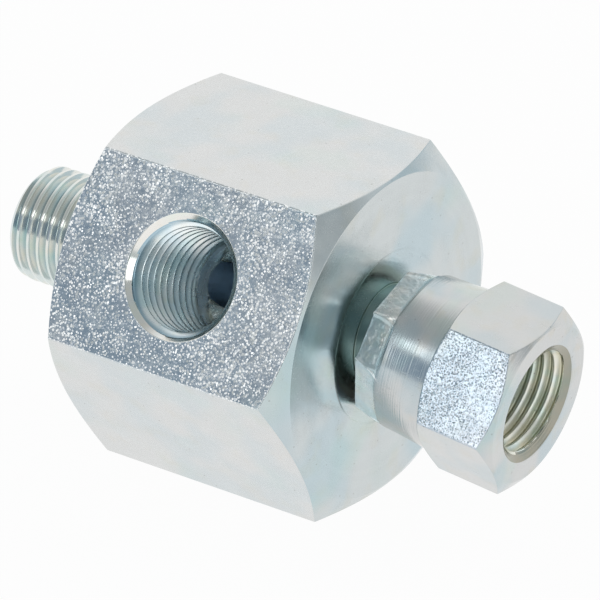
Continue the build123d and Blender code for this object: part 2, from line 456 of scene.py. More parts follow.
def add_hexagon(shell, size, before):
    """The hexagon with both chamfers, joined to the ring before it. Gives its last ring, the rim
    of the opening left in the port's flat, and the angles of that rim about the port."""
    apothem, face, length = size.hex_flats / 2, size.hex_face / 2, size.hex_length
    outer_face = 17.6
    offsets = crowded(apothem, size.hex_rounding, 12)
    around = sector_angles(6, HALF_SIXTH, offsets)
    side = hexagon_radius(around, apothem, size.hex_rounding)
    run = (side - face) * TAN_30
    path = softened(column_paths(
        [(0, outer_face), (0, face), (run, side), (length - run, side), (length, face),
         (length, outer_face)]), [0.08, 0.1, 0.1, 0.08])
    hexagon = shell.add(ring(path[..., 0], path[..., 1], around))
    shell.band(np.stack([before, hexagon[0]]), TURNED)

    # Each rounded corner takes seven rows. The flats run from the second to the third.
    zones = np.full(len(path) - 1, TURNED)
    zones[10:19] = FLAT
    shell.band(hexagon[:15], zones[:14])
    shell.band(hexagon[15:], zones[15:])
    low, high = hexagon[14], hexagon[15]

    # The port's flat stays open between two columns, for the port's mouth to join
    left, middle, right = 24, 36, 48
    open_columns = np.zeros(len(side), dtype=bool)
    open_columns[left:right] = True
    shell.band(np.stack([low, high]), FLAT, ~open_columns)
    down, up = np.arange(middle, left - 1, -1), np.arange(left, right + 1)
    back = np.arange(right, middle, -1)
    rim = np.concatenate([high[down], low[up], high[back]])
    return hexagon[-1], rim, turn_about_port(np.concatenate(shell.points)[rim])


def add_spigot(shell, size, angle, before):
    """The nut-side face with its shallow dish, the neck, the collar, the coned nose and the flow
    bore behind it. Gives the last ring."""
    bore, length = size.bore / 2, size.hex_length
    neck, collar, nose = 5.8, 6.9, size.tap / 2 - 0.45
    collar_back = length + 3.097
    collar_front = collar_back + collar - neck + 0.85
    cone = collar_front + 2.85
    end = cone + (nose - bore - 0.7) / TAN_30
    dish = size.dish / 2
    path = softened(
        [(length, INNER_FACE), (length, dish),(length - 0.13, dish - 0.3), (length - 0.4, neck),
         (collar_back, neck), (collar_front - 0.85, collar), (collar_front - 0.25, collar),
         (collar_front, collar - 0.25), (collar_front, nose), (cone, nose), (end, bore + 0.7),
         (end, bore + 0.35), (end - 0.35, bore), (PORT_X + HALF_PATCH, bore)],
        [0.05, 0.05, 0.12, 0.2, 0.15, 0.08, 0.08, 0.15, 0.12, 0.1, 0.08, 0.08])
    zones = np.full(len(path), TURNED)
    # The neck, its fillet and the collar's foot take the dark colour of painted shade.
    zones[16:30] = NECK_SHADE
    zones[-1] = DRILLED
    return revolve(shell, path, angle, zones, before)[-1]


def body_shell(size):
    """The whole body as one closed surface, followed from the stud's seat round the outside to
    the nose and back through the flow bore."""
    shell = Shell()
    angle = even(216)
    start, stud_end = add_stud(shell, size, angle)
    hexagon_end, rim, rim_turn = add_hexagon(shell, size, stud_end)
    end = add_spigot(shell, size, angle, hexagon_end)
    cut_port(shell, size, rim, rim_turn, (end, start))
    return shell


# Swivel nut

# Radius and width of the lip, width of the crimped flats, and the skirt's length and its radius
# at both ends
LIP, LIP_WIDTH, CRIMP_WIDTH = 6.42, 0.9, 3.2
SKIRT, SKIRT_START, SKIRT_END = 9.15, 9.03, 9.44


def rib_angles(count_per_flat):
    """Angles around the crimped skirt, crowded at its ribs, at the back and at the front."""
    half = count_per_flat // 2
    offsets = (np.arange(half + 1) / half) ** 1.7 / 2
    share = np.concatenate([offsets[:-1], 1 - offsets[::-1][:-1]])
    result = []
    for ribs in (RIBS_BACK, RIBS_FRONT):
        following = np.append(ribs[1:], ribs[0] + 360)
        result.append(np.radians(mix(ribs[:, None], following[:, None], share)).ravel())
    return result


def crimp_radius(u, angle, width):
    """Radius of the crimped skirt. Each pressed flat lies at D / cos of the angle off its
    middle, the smaller of that and the round bar holds, and a narrow ridge stands on each rib.
    Towards the front the ridge forks in two."""
    share = np.clip(u / width, 0, 1)
    count = len(RIBS_BACK)
    per_flat = angle.shape[-1] // count
    ribs = np.radians(mix(RIBS_BACK, RIBS_FRONT, share))
    following = np.concatenate([ribs[..., 1:], ribs[..., :1] + 2 * math.pi], axis=-1)
    middle = np.repeat((ribs + following) / 2, per_flat, axis=-1)
    half = np.repeat((following - ribs) / 2, per_flat, axis=-1)
    off = angle - middle
    flat = mix(7.97, 8.40, share) / np.cos(off)
    bar = mix(8.47, 8.90, share)
    to_rib = (half - np.abs(off)) * bar
    fork = 0.55 * share ** 3
    ridge = 0.2 * np.exp(-((to_rib - fork) / 0.2) ** 2)
    return soft_min(flat, bar, 0.12) + ridge


def skirt_radius(u):
    """Radius of the turned skirt, which flares towards the hexagon."""
    share = ((u - CRIMP_WIDTH) / (SKIRT - CRIMP_WIDTH)).clip(0, 1)
    return mix(SKIRT_START, SKIRT_END, share ** 1.4)


def add_skirt(shell, angle):
    """The lip and the back face, then the crimped flats with a rounded back edge and the start
    of the turned skirt. Gives the last ring and its angles."""
    path = softened([(LIP_WIDTH, LIP), (0, LIP), (0, 7.4)], [0.12])
    rows = revolve(shell, path, angle, DRILLED)
    rounding = 0.24
    back, front = rib_angles(len(angle) // len(RIBS_BACK))
    u = np.array([0, 0.03, 0.1, 0.22, 0.4, 0.8, 1.2, 1.6, 2.0, 2.4, 2.65, 2.8, 2.95, 3.1, 3.25,
                  3.4, 3.6, 3.9])[:, None]
    around = mix(back, front, np.clip(u / CRIMP_WIDTH, 0, 1))
    pressed = crimp_radius(u, around, CRIMP_WIDTH)
    edge = rounding * (1 - np.sqrt(1 - (1 - np.clip(u / rounding, 0, 1)) ** 2))
    radius = mix(pressed - edge, skirt_radius(u), ease(2.7, 3.35, u))
    crimp = shell.add(ring(u, radius, around))
    shell.band(np.stack([rows[-1], crimp[0]]), CRIMPED)
    zones = np.where(u[:-1, 0] < 3.1, CRIMPED, TURNED)
    shell.band(crimp, zones)
    return crimp[-1], around[-1]


def add_nut_hexagon(shell, size, before, around):
    """The flare from the skirt's ring to the hexagon's columns, and the hexagon with both
    chamfers. Gives the last ring and by how many columns the hexagon is shifted."""
    apothem, face, length = size.nut_flats / 2, 9.2, size.nut_length
    flare_start, flare_end, outer_face = 3.9, SKIRT - 0.12, 8.6
    offsets = crowded(apothem, size.nut_rounding, 18)
    hexed = sector_angles(6, HALF_SIXTH + NUT_TURN, offsets)
    shift = int(round((hexed[0] - around[0]) / (2 * math.pi) * len(around)))
    hexed = np.roll(hexed, shift)
    hexed[:shift] -= 2 * math.pi
    u = np.linspace(4.3, flare_end, 12)[:, None]
    share = (u - flare_start) / (flare_end - flare_start)
    rows = shell.add(ring(u, skirt_radius(u), mix(around, hexed, share)))
    shell.band(np.concatenate([before[None], rows]), TURNED)
    side = hexagon_radius(hexed, apothem, size.nut_rounding, NUT_TURN)
    back_run, front_run = (side - SKIRT_END) * TAN_30, (side - face) * TAN_30
    path = softened(column_paths(
        [(SKIRT - 0.06, SKIRT_END - 0.006), (SKIRT, SKIRT_END), (SKIRT + back_run, side),
         (length - front_run, side), (length, face), (length, outer_face)]),
        [0.05, 0.08, 0.08, 0.07])
    hexagon = shell.add(ring(path[..., 0], path[..., 1], hexed))
    shell.band(np.stack([rows[-1], hexagon[0]]), TURNED)
    zones = np.full(len(path) - 1, TURNED)
    zones[10:19] = FLAT
    shell.band(hexagon, zones)
    return hexagon[-1], shift


def add_nut_thread(shell, size, angle, before):
    """The face with its bevelled mouth, the thread and its relief, the collar's bore and the
    slope down to the lip. Gives the last ring."""
    length, inner_face, cavity = size.nut_length, 8.3, 7.68
    tap, mouth = size.tap / 2, size.port_mouth / 2
    crest, root = tap - 0.1, size.thread / 2 - 0.16
    path = softened(
        [(length, inner_face), (length, mouth), (length - 0.08, mouth - 0.16)], [0.07])
    rows = revolve(shell, path, angle, TURNED, before)
    relief_top, relief_wall = 9.35, tap + 0.75

    def place(z, radius, angle):
        return ring(-z, radius, angle)

    def cut(share, z):
        turned = thread_radius(share, crest, root)
        bevel = mouth - 2 * (length + z)
        relief = relief_wall + relief_top + z
        return -soft_min(-turned, -np.maximum(bevel, relief), 0.05)

    last = sleeve(shell, place, angle, (-length + 0.08, -relief_top), -1, size.pitch, cut,
                  rows[-1], TAPPED, bevel=0.6)

    # Relief, collar bore and its sloped seat, back to the lip
    path = softened(
        [(relief_top, relief_wall), (relief_top - (cavity - relief_wall), cavity),
         (LIP_WIDTH + cavity - LIP, cavity), (LIP_WIDTH, LIP)],
        [0.15, 0.15])[1:-1]
    return revolve(shell, path, angle, DRILLED, last)[-1]


def nut_shell(size):
    """The whole nut as one closed surface in its own frame, along +X from its back face, followed
    from the lip round the outside to the mouth and back through the thread."""
    shell = Shell()
    count = 288
    angle = even(count)
    skirt_end, around = add_skirt(shell, angle)
    hexagon_end, shift = add_nut_hexagon(shell, size, skirt_end, around)
    shifted = angle + NUT_TURN - shift * 2 * math.pi / count
    end = add_nut_thread(shell, size, shifted, hexagon_end)

    # The lip's ring was the first, so its points are numbered from 0
    lip_ring = np.roll(np.arange(count), shift)
    shell.band(np.stack([end, lip_ring]), DRILLED)
    return shell


def nut_place():
    """Where the nut hangs: behind the body's face, drooped and turned a little to the side."""
    joint = next(j for j in frame["record"]["behaviour"]["joints"] if j["name"] == "nut_spin")
    axis = Vector(joint["axis"]).normalized()
    droop = -math.asin(axis.z)
    sway = math.atan2(axis.y, axis.x)
    turn = Matrix.Rotation(sway, 4, "Z") @ Matrix.Rotation(droop, 4, "Y")
    return Matrix.Translation(Vector(joint["pos_m"]) * TO_MM) @ turn, droop, sway


# Finishes

def node(tree, kind, inputs=None, **settings):
    """Adds a shader node with its settings. An input is a value or another node's output."""
    made = tree.nodes.new(kind)
    for key, value in settings.items():
        setattr(made, key, value)
    for key, value in (inputs or {}).items():
        if isinstance(value, bpy.types.NodeSocket):
            tree.links.new(value, made.inputs[key])
        else:
            made.inputs[key].default_value = value
    return made


def math_node(tree, operation, a, b=0.0, c=0.0, clamp=False):
    """One sum on numbers."""
    return node(tree, "ShaderNodeMath", {0: a, 1: b, 2: c}, operation=operation,
                use_clamp=clamp).outputs[0]


def ramp(tree, value, low, high, out_low=0.0, out_high=1.0):
    """Smooth step of a value between two limits."""
    return node(tree, "ShaderNodeMapRange", {0: value, 1: low, 2: high, 3: out_low, 4: out_high},
                interpolation_type="SMOOTHSTEP").outputs[0]


def blend_colour(tree, share, a, b, kind="MIX"):
    """Blend of two colours."""
    return node(tree, "ShaderNodeMix", {0: share, 6: a, 7: b}, data_type="RGBA",
                blend_type=kind).outputs[2]


def noise(tree, place, scale, detail):
    """The outputs of a noise: its value and its colour."""
    return node(tree, "ShaderNodeTexNoise",
                {"Vector": place, "Scale": scale, "Detail": detail}).outputs


def empty_tree(owner):
    """The node tree of a material or a world, with no nodes in it yet."""
    owner.use_nodes = True
    owner.node_tree.nodes.clear()
    return owner.node_tree


def start_group(name, inputs, outputs):
    """An empty node group with named sockets. Gives the group and what comes in."""
    group = bpy.data.node_groups.new(name, "ShaderNodeTree")
    for label, kind, value in inputs:
        socket = group.interface.new_socket(label, in_out="INPUT", socket_type=kind)
        if value is not None:
            socket.default_value = value
    for label, kind in outputs:
        group.interface.new_socket(label, in_out="OUTPUT", socket_type=kind)
    return group, group.nodes.new("NodeGroupInput").outputs


def end_group(group, *results):
    """Hands the results to the group's output sockets, in their order."""
    node(group, "NodeGroupOutput", dict(enumerate(results)))
    return group


FLOAT, COLOUR, VECTOR = "NodeSocketFloat", "NodeSocketColor", "NodeSocketVector"


def plating_tint_group():
    """Bright zinc with faint patches of blue, yellow and green from its clear passivation."""
    group, given = start_group(
        "plating_tint",
        [("Vector", VECTOR, None), ("Plating", COLOUR, (0.78, 0.79, 0.79, 1)),
         ("Patch Size", FLOAT, 0.12), ("Strength", FLOAT, 0.5)],
        [("Color", COLOUR)])
    wide = noise(group, given[0], given[2], 2.0)
    fine = noise(group, given[0], math_node(group, "MULTIPLY", given[2], 3.1), 3.0)
    blue = ramp(group, wide[0], 0.42, 0.62)
    yellow = ramp(group, fine[0], 0.52, 0.72)
    parts = node(group, "ShaderNodeSeparateColor", {0: wide[1]})
    green = ramp(group, parts.outputs[1], 0.52, 0.68)
    colour = given[1]
    for patch, tint in ((blue, (0.74, 0.91, 1.0, 1)), (yellow, (1.0, 0.955, 0.87, 1)),
                        (green, (0.88, 1.0, 0.95, 1))):
        share = math_node(group, "MULTIPLY", patch, given[3])
        colour = blend_colour(group, share, colour, tint, "MULTIPLY")
    return end_group(group, colour)


def crystal_group():
    """Glitter of zinc crystals: round bright grains, each tilted its own way, in a smooth ground.
    They lie closer together in some patches than in others."""
    group, given = start_group(
        "zinc_crystals",
        [("Vector", VECTOR, None), ("Cells per mm", FLOAT, 2.8), ("Tilt", FLOAT, 0.3),
         ("Grain", FLOAT, 0.4)],
        [("Normal", VECTOR), ("Grains", FLOAT)])
    cells = node(group, "ShaderNodeTexVoronoi", {"Vector": given[0], "Scale": given[1]})
    chance = node(group, "ShaderNodeSeparateColor", {0: cells.outputs["Color"]})
    lean = node(group, "ShaderNodeVectorMath", {0: cells.outputs["Color"], 1: (0.5, 0.5, 0.5)},
                operation="SUBTRACT").outputs[0]
    crowd = noise(group, given[0], 0.22, 3.0)[0]
    reach = ramp(group, crowd, 0.38, 0.62, 0.82, 1.12)
    own = math_node(group, "MULTIPLY_ADD", chance.outputs[1], 0.4, 0.75)
    reach = math_node(group, "MULTIPLY", reach, own)
    reach = math_node(group, "MULTIPLY", reach, given[3])
    grains = ramp(group, cells.outputs["Distance"], math_node(group, "ADD", reach, 0.03),
                  math_node(group, "SUBTRACT", reach, 0.03))
    amount = math_node(group, "MULTIPLY", given[2], math_node(group, "MULTIPLY_ADD", grains, 0.88, 0.12))
    lean = node(group, "ShaderNodeVectorMath", {0: lean, "Scale": amount}, operation="SCALE").outputs[0]
    face = node(group, "ShaderNodeNewGeometry").outputs["Normal"]
    tilted = node(group, "ShaderNodeVectorMath", {0: face, 1: lean}, operation="ADD").outputs[0]
    tilted = node(group, "ShaderNodeVectorMath", {0: tilted}, operation="NORMALIZE").outputs[0]
    return end_group(group, tilted, grains)


def lathe_group():
    """Tool lines of the lathe: rings about the x axis, as noise along radius plus length."""
    group, given = start_group(
        "lathe_lines",
        [("Vector", VECTOR, None), ("Lines per mm", FLOAT, 5.0)],
        [("Height", FLOAT), ("Broad", FLOAT)])
    place = node(group, "ShaderNodeSeparateXYZ", {0: given[0]}).outputs
    squares = math_node(group, "ADD", math_node(group, "MULTIPLY", place[1], place[1]),
                        math_node(group, "MULTIPLY", place[2], place[2]))
    along = math_node(group, "MULTIPLY_ADD", place[0], 0.77, math_node(group, "SQRT", squares))
    fine, broad = (node(group, "ShaderNodeTexNoise", {"W": along, "Scale": scale, "Detail": 2.0},
                        noise_dimensions="1D").outputs[0] for scale in (given[1], 0.9))
    return end_group(group, fine, broad)


def handling_group():
    """Marks of handling: small dark specks, short fine scratches and a soft cloud."""
    group, given = start_group(
        "handling_marks",
        [("Vector", VECTOR, None), ("Specks", FLOAT, 0.5)],
        [("Specks", FLOAT), ("Scratches", FLOAT), ("Cloud", FLOAT)])
    spot = node(group, "ShaderNodeTexVoronoi", {"Vector": given[0], "Scale": 0.75})
    chance = node(group, "ShaderNodeSeparateColor", {0: spot.outputs["Color"]}).outputs[0]
    size = math_node(group, "MULTIPLY", chance, 0.09)
    dot = math_node(group, "LESS_THAN", spot.outputs["Distance"], size)
    dot = math_node(group, "MULTIPLY", dot, math_node(group, "GREATER_THAN", chance, 0.45))
    specks = math_node(group, "MULTIPLY", dot, given[1])
    stretch = {"Vector": given[0], "Rotation": (0.3, 0.9, 0.5), "Scale": (0.25, 4.0, 4.0)}
    stretched = node(group, "ShaderNodeMapping", stretch).outputs[0]
    scratches = ramp(group, noise(group, stretched, 1.0, 1.0)[0], 0.68, 0.74)
    cloud = noise(group, given[0], 0.35, 4.0)[0]
    return end_group(group, specks, scratches, cloud)


def valley_shade_group():
    """Mask of a thread's valleys, from the distance to the x axis: 0 at its crest, 1 at its root. It
    places painted shade in the valleys.
    """
    group, given = start_group(
        "thread_valley",
        [("Vector", VECTOR, None), ("Crest", FLOAT, 6.5), ("Root", FLOAT, 5.8)],
        [("Valley", FLOAT)])
    across = node(group, "ShaderNodeVectorMath", {0: given[0], 1: (0.0, 1.0, 1.0)},
                  operation="MULTIPLY").outputs[0]
    radius = node(group, "ShaderNodeVectorMath", {0: across}, operation="LENGTH").outputs["Value"]
    return end_group(group, ramp(group, radius, given[1], given[2]))


def facing_group():
    """Mask of one flat side, from how far out a place lies in that side's direction."""
    group, given = start_group(
        "one_side",
        [("Vector", VECTOR, None), ("Direction", VECTOR, None), ("Reach", FLOAT, 19.0)],
        [("Side", FLOAT)])
    out_there = node(group, "ShaderNodeVectorMath", {0: given[0], 1: given[1]},
                     operation="DOT_PRODUCT").outputs["Value"]
    near = math_node(group, "SUBTRACT", given[2], 0.15)
    far = math_node(group, "SUBTRACT", given[2], 0.05)
    return end_group(group, ramp(group, out_there, near, far))


def shared_groups():
    """The node groups, built once for all the finishes."""
    makers = {"plating_tint": plating_tint_group, "zinc_crystals": crystal_group,
              "lathe_lines": lathe_group, "handling_marks": handling_group,
              "thread_valley": valley_shade_group, "one_side": facing_group}
    return {name: bpy.data.node_groups.get(name) or make() for name, make in makers.items()}


def use_group(tree, group, **inputs):
    """Places a shared group. Spaces in a socket's name are written as underscores here."""
    named = {key.replace("_", " "): value for key, value in inputs.items()}
    return node(tree, "ShaderNodeGroup", named, node_tree=group).outputs


def steel(name, look, centre=(0, 0, 0), turn=(0, 0, 0)):
    """One plated finish. Its patterns lie in millimetres around the piece's own lathe axis. The look
    gives the plating's colour and its roughness from smooth to rough. It may also give how strong the
    tint is and how fine its patches are, specks, crystals with how pale they are, which is partly
    painted glint, and the side that shows them with that side's painted reflection colour, a painted
    shade for a thread's valleys, the lathe's lines or pressed wrinkles and how high they stand, and how
    brushed the steel is."""
    groups = shared_groups()
    material = bpy.data.materials.new(name)
    tree = empty_tree(material)
    place = node(tree, "ShaderNodeTexCoord").outputs["Object"]
    place = node(tree, "ShaderNodeMapping",
                 {"Vector": place, "Location": centre, "Rotation": turn,
                  "Scale": (1 / TO_MM, 1 / TO_MM, 1 / TO_MM)}, vector_type="TEXTURE").outputs[0]
    marks = use_group(tree, groups["handling_marks"], Vector=place, Specks=look.get("specks", 0.4))
    colour = use_group(tree, groups["plating_tint"], Vector=place, Plating=look["plating"],
                       Patch_Size=look.get("patch", 0.12), Strength=look.get("tint", 0.4))[0]
    colour = blend_colour(tree, marks["Specks"], colour, (0.30, 0.29, 0.27, 1))
    # Painted shade: the valleys of a thread are multiplied by a darker tint towards the root.
    if "valley" in look:
        crest, root, tint = look["valley"]
        valley = use_group(tree, groups["thread_valley"], Vector=place, Crest=crest, Root=root)[0]
        colour = blend_colour(tree, valley, colour, tint, "MULTIPLY")
    low, high = look["rough"]
    rough = ramp(tree, marks["Cloud"], 0.3, 0.7, low, high)
    rough = math_node(tree, "MULTIPLY_ADD", marks["Scratches"], 0.08, rough)
    bump = {"Strength": 1.0, "Distance": look.get("relief", 0.0) / TO_MM}
    if "crystals" in look:
        cells, tilt, grain = look["crystals"]
        side = use_group(tree, groups["one_side"], Vector=place, Direction=look["side"][0],
                         Reach=look["side"][1])[0]
        strength = ramp(tree, side, 0.0, 1.0, 0.13, 1.0)
        glitter = use_group(tree, groups["zinc_crystals"], Vector=place, Cells_per_mm=cells,
                            Tilt=math_node(tree, "MULTIPLY", strength, tilt), Grain=grain)
        bump["Normal"] = glitter["Normal"]
        rough = math_node(tree, "MULTIPLY_ADD", glitter["Grains"], 0.08, rough, clamp=True)
        # The grains' pale colour is partly zinc crystal tone and partly painted glint that whitens their
        # sparkle.
        pale = math_node(tree, "MULTIPLY", glitter["Grains"], strength)
        pale = math_node(tree, "MULTIPLY", pale, look["pale"])
        # Painted reflection: the side that shows the crystals is multiplied by a darker blue-grey.
        colour = blend_colour(tree, math_node(tree, "MULTIPLY", side, 0.6), colour,
                              look["side"][2], "MULTIPLY")
        colour = blend_colour(tree, pale, colour, (0.94, 0.96, 0.96, 1))
    if "lines" in look:
        tool = use_group(tree, groups["lathe_lines"], Vector=place, Lines_per_mm=look["lines"])
        bump["Height"] = math_node(tree, "MULTIPLY_ADD", tool["Broad"], 0.2, tool["Height"])
        shine = ramp(tree, tool["Broad"], 0.35, 0.65, 0.985, 1.0)
        colour = blend_colour(tree, 1.0, colour, shine, "MULTIPLY")
    elif "wrinkles" in look:
        bump["Height"] = noise(tree, place, look["wrinkles"], 2.0)[0]
    else:
        bump["Height"] = marks["Cloud"]
    surface = {"Metallic": 1.0, "Base Color": colour, "Roughness": rough,
               "Normal": node(tree, "ShaderNodeBump", bump).outputs[0]}
    if "brushed" in look:
        surface["Anisotropic"] = look["brushed"]
        surface["Tangent"] = node(tree, "ShaderNodeTangent", direction_type="RADIAL",
                                  axis="X").outputs[0]
    shader = node(tree, "ShaderNodeBsdfPrincipled", surface).outputs[0]
    node(tree, "ShaderNodeOutputMaterial", {"Surface": shader})
    return material


def body_finishes(finish):
    """The body's seven finishes, in the order of the zones. The port's flat shows the crystals, and the
    other flats a trace of them. The port's flat is also tinted darker blue-grey as painted reflection,
    the thread valleys carry painted shade, the port and the bores are lifted as painted light, and the
    neck is dark as painted shade."""
    plating = tuple(finish.plating) + (1.0,)
    port = {"centre": (PORT_X / TO_MM, 0, 0), "turn": (0, -HALF_SIXTH, -math.pi / 2)}
    # The port's flat shows the crystals, and its blue-grey colour is painted reflection.
    port_flat_crystals_and_painted_reflection = ((0, -PORT_SIN, PORT_COS), 19.0, (0.86, 0.91, 0.96, 1))
    return [
        steel("drawn_hexagon", {"plating": plating, "rough": (0.16, 0.24), "tint": 0.3, "specks": 0.5,
                                "crystals": (3.6, finish.glitter, 0.47), "pale": 1.0,
                                "side": port_flat_crystals_and_painted_reflection, "relief": 0.01}),
        steel("turned_steel", {"plating": (0.62, 0.66, 0.665, 1), "rough": (0.17, 0.27), "tint": 0.55,
                               "patch": 0.08, "lines": 5.0, "relief": 0.0025, "brushed": 0.6}),
        steel("stud_thread", {"plating": (0.79, 0.80, 0.76, 1), "rough": (0.10, 0.16), "tint": 0.4,
                              "patch": 0.3, "specks": 0.1, "relief": 0.002,
                              "valley": (6.35, 5.75, (0.78, 0.85, 0.90, 1))}),
        # Painted light: the port's plating is lifted near white so its shaded hole reads lighter.
        steel("tapped_port", {"plating": (0.95, 1.0, 1.0, 1), "rough": (0.22, 0.32), "tint": 0.5,
                              "patch": 0.25, "lines": 6.0, "relief": 0.003,
                              "valley": (6.0, 6.5, (0.45, 0.56, 0.63, 1))}, **port),
        # Painted light: the bores' plating is lifted and tinted blue so the shaded slot and bores read
        # lighter.
        steel("drilled_bore", {"plating": (0.62, 0.72, 0.80, 1), "rough": (0.3, 0.4), "tint": 0.3,
                               "lines": 4.0, "relief": 0.01}),
        steel("port_bevel", {"plating": (0.86, 0.85, 0.81, 1), "rough": (0.1, 0.16), "tint": 0.4,
                             "patch": 0.3, "lines": 6.0, "relief": 0.001}, **port),
        # Painted shade: the neck is dark green-grey because it lies in the nut's shade.
        steel("shaded_neck", {"plating": (0.31, 0.40, 0.37, 1), "rough": (0.25, 0.35), "tint": 0.4,
                              "patch": 0.2, "lines": 5.0, "relief": 0.003}),
    ]


def nut_finishes(finish):
    """The nut's six finishes, in the order of the zones. Its plating is a little darker than the body's,
    and one of its flats shows the crystals, tinted darker blue as painted reflection. The crimped skirt
    and the thread are lightened as painted light, the thread's valleys carry painted shade, and the
    mouth's bevel is dark as painted shade."""
    plating = tuple(0.92 * channel for channel in finish.plating) + (1.0,)
    place, droop, sway = nut_place()
    local = {"centre": tuple(place.translation / TO_MM), "turn": (0, droop, sway)}
    front = SIXTH + NUT_TURN
    # The nut's front flat shows the crystals, and its blue colour is painted reflection.
    nut_front_crystals_and_painted_reflection = ((0, -math.sin(front), math.cos(front)), 9.5, (0.72, 0.84, 1.0, 1))
    return [
        steel("drawn_nut", {"plating": plating, "rough": (0.12, 0.18), "tint": 0.35, "specks": 0.4,
                            "crystals": (5.4, 1.2 * finish.glitter, 0.5), "pale": 0.25,
                            "side": nut_front_crystals_and_painted_reflection, "relief": 0.01}, **local),
        steel("turned_nut", {"plating": plating, "rough": (0.15, 0.25), "tint": 0.6, "patch": 0.15,
                             "lines": 5.0, "relief": 0.008, "brushed": 0.4}, **local),
        # Painted light: the crimped skirt's plating is raised to white so its facets read as lit.
        steel("crimped_skirt", {"plating": (1.0, 1.0, 0.97, 1), "rough": (0.24, 0.36), "tint": 0.5,
                                "patch": 0.3, "specks": 0.6, "wrinkles": 0.8, "relief": 0.2}, **local),
        # Painted light: the nut's thread is lifted to a pale cream because its deep hole is in shade.
        steel("tapped_nut", {"plating": (0.96, 0.95, 0.86, 1), "rough": (0.28, 0.4), "tint": 0.5,
                             "patch": 0.3, "lines": 4.0, "relief": 0.003,
                             "valley": (6.0, 6.4, (0.82, 0.80, 0.70, 1))}, **local),
        steel("nut_bore", {"plating": (0.80, 0.78, 0.68, 1), "rough": (0.3, 0.4), "tint": 0.3,
                           "lines": 4.0, "relief": 0.01}, **local),
        # Painted shade: the nut's mouth bevel is a dark olive copy of the plating.
        steel("nut_bevel", {"plating": (0.37, 0.36, 0.30, 1), "rough": (0.12, 0.2), "tint": 0.4,
                            "patch": 0.3, "lines": 4.0, "relief": 0.02}, **local),
    ]


# Studio

# Upright patches of the room: azimuth and elevation limits and how soft each pair of edges is, in
# degrees, and the colour. A white wall and a blue-grey screen on the camera's left, two grey
# screens on its right, and the dark place of the photographer.
WALLS = (
    ((-115, -96), (-12, 32), (2, 4), (1, 1, 1, 1)),
    ((-155, -117), (-12, 26), (3, 3), (0.27, 0.34, 0.42, 1)),
    ((4, 38), (-12, 21), (5, 4), (0.46, 0.50, 0.52, 1)),
    ((42, 80), (-12, 14), (5, 4), (0.55, 0.66, 0.72, 1)),
    ((-70, -41), (-20, 76), (6, 8), (0.19, 0.24, 0.26, 1)),
)

# Softboxes: azimuth and elevation in degrees, width and height in metres
SOFTBOXES = {
    "left": (-107, 20, 0.18, 0.36),
    "small": (-125, 35, 0.16, 0.2),
    "right": (-26, 22, 0.2, 0.5),
}

# How far the camera stands to the right of the body's middle and below it, in metres
CAMERA_RIGHT, CAMERA_DOWN = 0.003567, 0.000432


def towards(azimuth, elevation):
    """Unit vector of a compass direction, in degrees from +X towards +Y and up."""
    az, el = math.radians(azimuth), math.radians(elevation)
    return Vector((math.cos(el) * math.cos(az), math.cos(el) * math.sin(az), math.sin(el)))


def studio_world():
    """A white room with a dim ceiling and the upright patches. The camera itself sees plain white
    all round. The room is fixed in space and doesn't follow the camera."""
    world = bpy.data.worlds.new("studio")
    tree = empty_tree(world)
    direction = node(tree, "ShaderNodeTexCoord").outputs["Generated"]
    parts = node(tree, "ShaderNodeSeparateXYZ", {0: direction}).outputs
    azimuth = math_node(tree, "DEGREES", math_node(tree, "ARCTAN2", parts[1], parts[0]))
    elevation = math_node(tree, "DEGREES", math_node(tree, "ARCSINE", parts[2]))
    to_ceiling = node(tree, "ShaderNodeVectorMath", {0: direction, 1: towards(-60, 55)},
                      operation="DOT_PRODUCT").outputs["Value"]
    dim = ramp(tree, math_node(tree, "DEGREES", math_node(tree, "ARCCOSINE", to_ceiling)), 74, 46)
    room = blend_colour(tree, dim, (1, 1, 1, 1), (0.43, 0.46, 0.47, 1))
    for az, el, soft, colour in WALLS:
        mask = None
        for value, limits, edge in ((azimuth, az, soft[0]), (elevation, el, soft[1])):
            for limit, sign in zip(limits, (-1, 1)):
                side = ramp(tree, value, limit + sign * edge, limit - sign * edge)
                mask = side if mask is None else math_node(tree, "MULTIPLY", mask, side)
        room = blend_colour(tree, mask, room, colour)
    seen = node(tree, "ShaderNodeLightPath").outputs["Is Camera Ray"]
    room = blend_colour(tree, seen, room, (1, 1, 1, 1))
    background = node(tree, "ShaderNodeBackground", {"Color": room, "Strength": 1.0}).outputs[0]
    node(tree, "ShaderNodeOutputWorld", {"Surface": background})
    return world


def floor_finish(floor_white):
    """Pale matt floor. Part of it is seen as plain white by the camera and in reflections, so it
    reads as a white sweep and still keeps the object's shadow."""
    material = bpy.data.materials.new("studio_floor")
    tree = empty_tree(material)
    rays = node(tree, "ShaderNodeLightPath").outputs
    seen = math_node(tree, "MAXIMUM", rays["Is Camera Ray"], rays["Is Glossy Ray"])
    seen = math_node(tree, "MAXIMUM", seen, rays["Is Transmission Ray"])
    matt = node(tree, "ShaderNodeBsdfDiffuse", {"Color": (0.93, 0.93, 0.925, 1)}).outputs[0]
    white = node(tree, "ShaderNodeEmission", {"Color": (1, 1, 1, 1), "Strength": 1.0}).outputs[0]
    share = math_node(tree, "MULTIPLY", seen, floor_white)
    mixed = node(tree, "ShaderNodeMixShader", {0: share, 1: matt, 2: white}).outputs[0]
    node(tree, "ShaderNodeOutputMaterial", {"Surface": mixed})
    return material


